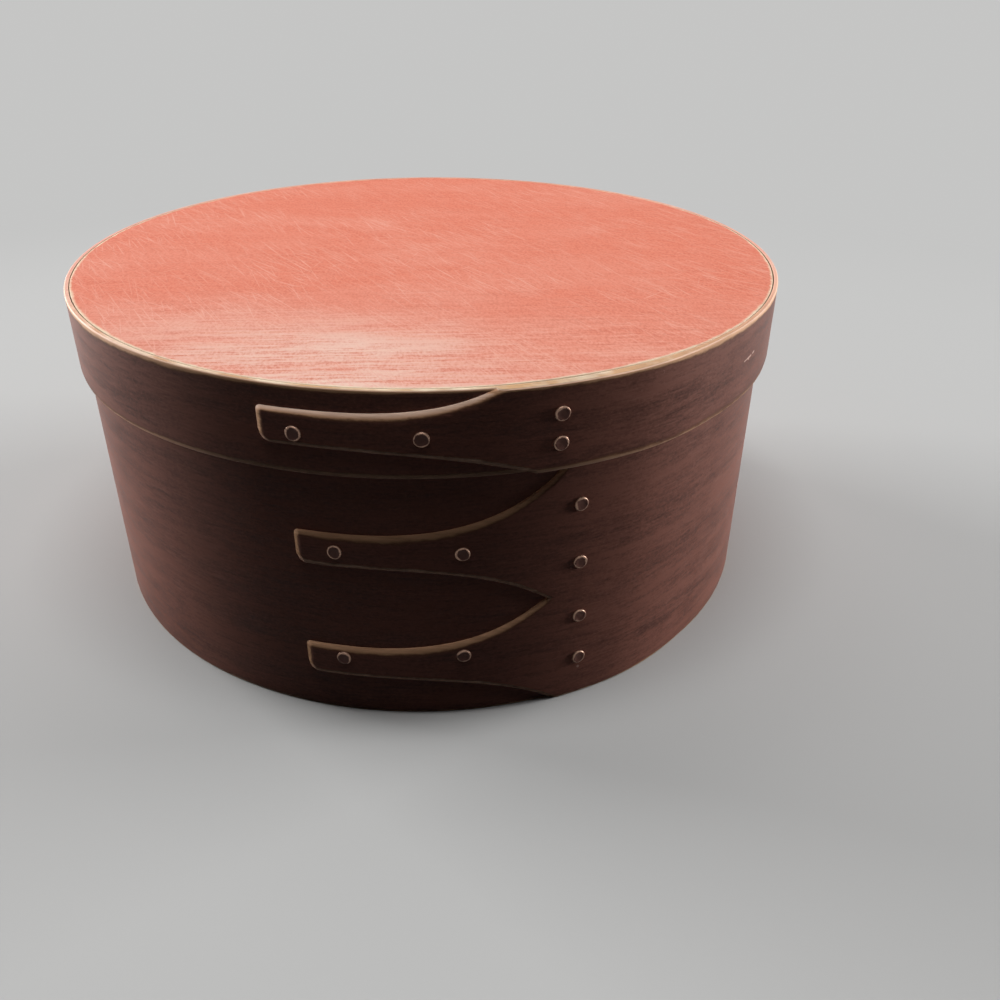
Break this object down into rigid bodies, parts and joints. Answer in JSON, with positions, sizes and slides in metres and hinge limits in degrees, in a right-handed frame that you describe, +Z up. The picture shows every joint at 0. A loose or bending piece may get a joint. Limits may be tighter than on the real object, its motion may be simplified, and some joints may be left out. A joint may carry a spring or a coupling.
{
  "type": "bentwood box",
  "caption": "Round bentwood pantry box: thin bent bands lapped and tacked with long fingers, a round bottom board, and a lift-off lid made the same way.",
  "frame": {"origin": "centre of the underside, on the axis of the box wall", "axes": "+Z up along the axis of the box wall; -Y is the front, where the bands' laps are; +X is to the right of the front"},
  "size_m": [0.254, 0.2563, 0.1147],
  "materials": {
    "wall_paint": "thin dark red-brown paint on bent wood, worn to bare wood along the edges",
    "lid_paint": "thin salmon-red paint on a wooden board, brushed and finely scratched, with a soft sheen",
    "bare_wood": "bare aged wood",
    "tack_copper": "copper, painted over and worn bright round the head's edge",
    "peg_wood": "wooden peg, painted over at its end"
  },
  "bodies": {
    "box": {"body_band": "wall_paint", "bottom_board": "bare_wood", "upper_finger_tack_1": "tack_copper", "upper_finger_tack_2": "tack_copper", "lower_finger_tack_1": "tack_copper", "lower_finger_tack_2": "tack_copper", "body_seam_tack_1": "tack_copper", "body_seam_tack_2": "tack_copper", "body_seam_tack_3": "tack_copper", "body_seam_tack_4": "tack_copper", "bottom_peg_1": "peg_wood", "bottom_peg_2": "peg_wood", "bottom_peg_3": "peg_wood", "bottom_peg_4": "peg_wood", "bottom_peg_5": "peg_wood", "bottom_peg_6": "peg_wood", "bottom_peg_7": "peg_wood", "bottom_peg_8": "peg_wood"},
    "lid": {"lid_band": "wall_paint", "lid_board": "lid_paint", "lid_finger_tack_1": "tack_copper", "lid_finger_tack_2": "tack_copper", "lid_seam_tack_1": "tack_copper", "lid_seam_tack_2": "tack_copper", "lid_peg_1": "peg_wood", "lid_peg_2": "peg_wood", "lid_peg_3": "peg_wood", "lid_peg_4": "peg_wood", "lid_peg_5": "peg_wood", "lid_peg_6": "peg_wood", "lid_peg_7": "peg_wood", "lid_peg_8": "peg_wood"}
  },
  "joints": [
    {"name": "lid_lift", "type": "slide", "parent": "box", "child": "lid", "axis": [0, 0, 1], "range_m": [0, 0.12]}
  ]
}
